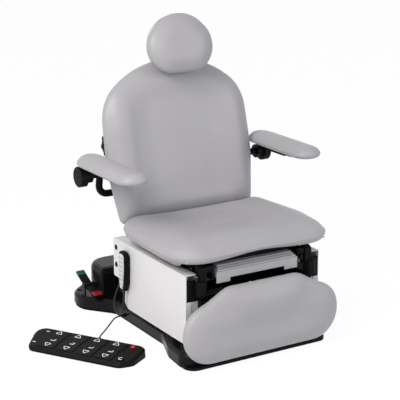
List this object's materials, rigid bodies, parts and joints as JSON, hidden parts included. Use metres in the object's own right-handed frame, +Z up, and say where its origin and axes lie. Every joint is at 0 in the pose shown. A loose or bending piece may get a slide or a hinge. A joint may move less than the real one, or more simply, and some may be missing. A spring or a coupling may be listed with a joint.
{
  "type": "examination chair",
  "caption": "Powered clinic examination chair with upholstered seat, reclining back, headrest, swinging armrests, leg section, pull-out tray, lifting base and foot control.",
  "frame": {"origin": "on the floor under the middle of the lifted body, at the centre floor pad", "axes": "+Z up, the sitter faces -Y, +X to the sitter's left, mid-plane at x = 0"},
  "size_m": [1.218, 1.016, 1.2683],
  "materials": {
    "upholstery": "soft satin vinyl upholstery in light grey",
    "white_paint": "white powder-coated sheet steel",
    "black_plastic": "black moulded plastic, fine grain",
    "black_metal": "black powder-coated steel",
    "drive_grey": "grey anodised drive housing",
    "steel": "bright turned steel",
    "tray_grey": "light grey moulded tray",
    "overlay": "printed membrane keypad",
    "board": "birch plywood board",
    "rubber": "black rubber",
    "wheel_tread": "dark wheel tread",
    "cord": "black flexible cord jacket",
    "green_plastic": "green moulded pad",
    "red_plastic": "red moulded pad"
  },
  "bodies": {
    "base": {"base_plate": "black_metal", "base_cover": "black_plastic", "floor_pads": "rubber", "rear_housing": "black_plastic", "mains_inlet": "black_plastic", "lift_shaft": "steel", "lift_drive": "drive_grey", "foot_case": "black_plastic", "foot_gland": "black_plastic", "foot_cord": "cord"},
    "lift_arm": {"lift_arms": "black_metal"},
    "level_link": {"level_links": "black_metal"},
    "lift_rod": {"lift_rod": "steel"},
    "lift_body": {"chassis": "black_metal", "side_panels": "white_paint", "front_panel": "white_paint", "rear_panel": "white_paint", "front_bezel": "black_plastic", "tilt_drive": "drive_grey", "hand_holder": "black_plastic", "hand_control": "black_plastic", "hand_keypad": "overlay", "hand_cord": "cord"},
    "tilt_rod": {"tilt_rod": "steel"},
    "seat": {"seat_frame": "black_metal", "seat_board": "board", "seat_skirt": "upholstery", "seat_cushion": "upholstery", "back_drive": "drive_grey", "leg_drive": "drive_grey"},
    "tray": {"tray": "tray_grey"},
    "back_rod": {"back_rod": "steel"},
    "leg_rod": {"leg_rod": "steel"},
    "back": {"back_frame": "black_metal", "back_shell": "black_plastic", "back_cushion": "upholstery", "arm_brackets": "black_metal"},
    "back_knob": {"back_knob": "black_plastic"},
    "arm_left": {"arm_plate_left": "black_plastic", "arm_pad_left": "upholstery"},
    "arm_right": {"arm_plate_right": "black_plastic", "arm_pad_right": "upholstery"},
    "headrest_post": {"headrest_post": "black_metal"},
    "headrest": {"headrest_bracket": "black_metal", "headrest_cushion": "upholstery"},
    "leg": {"leg_frame": "black_metal", "leg_cushion": "upholstery"},
    "front_carriage": {"front_carriage": "black_metal"},
    "rear_carriage": {"rear_carriage": "black_metal"},
    "front_wheels": {"front_wheels": "wheel_tread"},
    "rear_wheels": {"rear_wheels": "wheel_tread"},
    "wheel_pedal": {"wheel_pedal": "black_metal", "pedal_pad_green": "green_plastic", "pedal_pad_red": "red_plastic"},
    "rocker_1": {"foot_rocker_1": "black_plastic"},
    "rocker_2": {"foot_rocker_2": "black_plastic"},
    "rocker_3": {"foot_rocker_3": "black_plastic"},
    "rocker_4": {"foot_rocker_4": "black_plastic"},
    "button_stop": {"foot_button_stop": "red_plastic"},
    "button_home": {"foot_button_home": "black_plastic"}
  },
  "joints": [
    {"name": "lift", "type": "hinge", "parent": "base", "child": "lift_arm", "pos_m": [0, 0.425, 0.095], "axis": [-1, 0, 0], "range_deg": [0, 62]},
    {"name": "level_link_swing", "type": "hinge", "parent": "base", "child": "level_link", "pos_m": [0, 0.425, 0.17], "axis": [-1, 0, 0], "range_deg": [0, 62]},
    {"name": "body_level", "type": "hinge", "parent": "lift_arm", "child": "lift_body", "pos_m": [0, -0.045, 0.095], "axis": [1, 0, 0], "range_deg": [0, 62]},
    {"name": "lift_rod_slide", "type": "slide", "parent": "base", "child": "lift_rod", "axis": [0, 1, 0], "range_m": [0, 0.0672]},
    {"name": "seat_tilt", "type": "hinge", "parent": "lift_body", "child": "seat", "pos_m": [0, 0.25, 0.35], "axis": [-1, 0, 0], "range_deg": [0, 20]},
    {"name": "tilt_rod_slide", "type": "slide", "parent": "lift_body", "child": "tilt_rod", "axis": [0, 0, 1], "range_m": [0, 0.146]},
    {"name": "back_recline", "type": "hinge", "parent": "seat", "child": "back", "pos_m": [0, 0.265, 0.406], "axis": [-1, 0, 0], "range_deg": [0, 77]},
    {"name": "back_rod_slide", "type": "slide", "parent": "seat", "child": "back_rod", "axis": [0, -1, 0], "range_m": [0, 0.0752]},
    {"name": "leg_raise", "type": "hinge", "parent": "seat", "child": "leg", "pos_m": [0, -0.27, 0.385], "axis": [-1, 0, 0], "range_deg": [0, 90]},
    {"name": "leg_rod_slide", "type": "slide", "parent": "seat", "child": "leg_rod", "axis": [0, -1, 0], "range_m": [0, 0.0712]},
    {"name": "tray_slide", "type": "slide", "parent": "seat", "child": "tray", "axis": [0, -1, 0], "range_m": [0, 0.25]},
    {"name": "armrest_left_swing", "type": "hinge", "parent": "back", "child": "arm_left", "pos_m": [0, 0.325, 0.643], "axis": [-1, 0, 0], "range_deg": [0, 90]},
    {"name": "armrest_right_swing", "type": "hinge", "parent": "back", "child": "arm_right", "pos_m": [0, 0.325, 0.643], "axis": [-1, 0, 0], "range_deg": [0, 90]},
    {"name": "headrest_height", "type": "slide", "parent": "back", "child": "headrest_post", "axis": [0, 0.225, 0.9744], "range_m": [0, 0.08]},
    {"name": "headrest_tilt", "type": "hinge", "parent": "headrest_post", "child": "headrest", "pos_m": [0, 0.36723, 1.12442], "axis": [-1, 0, 0], "range_deg": [-5, 35]},
    {"name": "pedal_swing", "type": "hinge", "parent": "base", "child": "wheel_pedal", "pos_m": [-0.33, 0.506, 0.104], "axis": [-1, 0, 0], "range_deg": [0, 30]},
    {"name": "front_carriage_drop", "type": "slide", "parent": "base", "child": "front_carriage", "axis": [0, 0, -1], "range_m": [0, 0.0084]},
    {"name": "rear_carriage_drop", "type": "slide", "parent": "base", "child": "rear_carriage", "axis": [0, 0, -1], "range_m": [0, 0.0084]},
    {"name": "front_wheels_spin", "type": "hinge", "parent": "front_carriage", "child": "front_wheels", "pos_m": [0, -0.23, 0.025], "axis": [1, 0, 0], "continuous": true},
    {"name": "rear_wheels_spin", "type": "hinge", "parent": "rear_carriage", "child": "rear_wheels", "pos_m": [0, 0.572, 0.025], "axis": [1, 0, 0], "continuous": true},
    {"name": "rocker_1_press", "type": "hinge", "parent": "base", "child": "rocker_1", "pos_m": [-0.64557, 0.19662, 0.02475], "axis": [0.5358, -0.8443, 0], "range_deg": [-3.5, 3.5], "stiffness_Nm_per_rad": 20},
    {"name": "rocker_2_press", "type": "hinge", "parent": "base", "child": "rocker_2", "pos_m": [-0.59874, 0.12283, 0.02475], "axis": [0.5358, -0.8443, 0], "range_deg": [-3.5, 3.5], "stiffness_Nm_per_rad": 20},
    {"name": "rocker_3_press", "type": "hinge", "parent": "base", "child": "rocker_3", "pos_m": [-0.55191, 0.04903, 0.02475], "axis": [0.5358, -0.8443, 0], "range_deg": [-3.5, 3.5], "stiffness_Nm_per_rad": 20},
    {"name": "rocker_4_press", "type": "hinge", "parent": "base", "child": "rocker_4", "pos_m": [-0.50508, -0.02476, 0.02475], "axis": [0.5358, -0.8443, 0], "range_deg": [-3.5, 3.5], "stiffness_Nm_per_rad": 20},
    {"name": "button_stop_press", "type": "slide", "parent": "base", "child": "button_stop", "axis": [0.1102, 0.0699, -0.9914], "range_m": [0, 0.0025], "stiffness_N_per_m": 1500, "springref_m": -0.0005},
    {"name": "button_home_press", "type": "slide", "parent": "base", "child": "button_home", "axis": [0.1102, 0.0699, -0.9914], "range_m": [0, 0.0025], "stiffness_N_per_m": 1500, "springref_m": -0.0005},
    {"name": "back_knob_turn", "type": "hinge", "parent": "back", "child": "back_knob", "pos_m": [-0.22, 0.4022, 0.73353], "axis": [0, 0.9744, -0.225], "continuous": true}
  ],
  "couplings": [
    {"joint": "level_link_swing", "follows": "lift", "ratio": 1},
    {"joint": "body_level", "follows": "lift", "ratio": 1},
    {"joint": "lift_rod_slide", "follows": "lift", "m_per_rad": 0.061875},
    {"joint": "tilt_rod_slide", "follows": "seat_tilt", "m_per_rad": 0.41708},
    {"joint": "back_rod_slide", "follows": "back_recline", "m_per_rad": 0.055586},
    {"joint": "leg_rod_slide", "follows": "leg_raise", "m_per_rad": 0.045016},
    {"joint": "front_carriage_drop", "follows": "pedal_swing", "m_per_rad": 0.015279},
    {"joint": "rear_carriage_drop", "follows": "pedal_swing", "m_per_rad": 0.015279}
  ]
}
